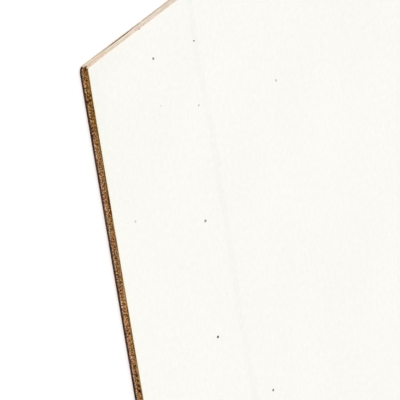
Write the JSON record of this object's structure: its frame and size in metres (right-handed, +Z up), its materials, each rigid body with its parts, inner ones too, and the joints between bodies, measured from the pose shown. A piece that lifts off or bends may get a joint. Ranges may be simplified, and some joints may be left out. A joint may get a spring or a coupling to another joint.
{
  "type": "plywood sheet",
  "caption": "Thin flat rectangular sheet of plywood with a smooth white facing, square sawn edges that show the core's end grain, and a bare wood back.",
  "frame": {"origin": "middle of the underside, where the sheet rests on the floor", "axes": "+X along the length and the grain of the face and back veneers, +Y across the width, +Z up out of the white face"},
  "size_m": [1.22, 0.61, 0.003],
  "materials": {
    "back_veneer": "matte",
    "core_veneer": "matte",
    "face_veneer": "matte",
    "white_facing": "satin"
  },
  "bodies": {
    "root": {"back_veneer": "back_veneer", "core_veneer": "core_veneer", "face_veneer": "face_veneer", "white_facing": "white_facing"}
  },
  "joints": []
}
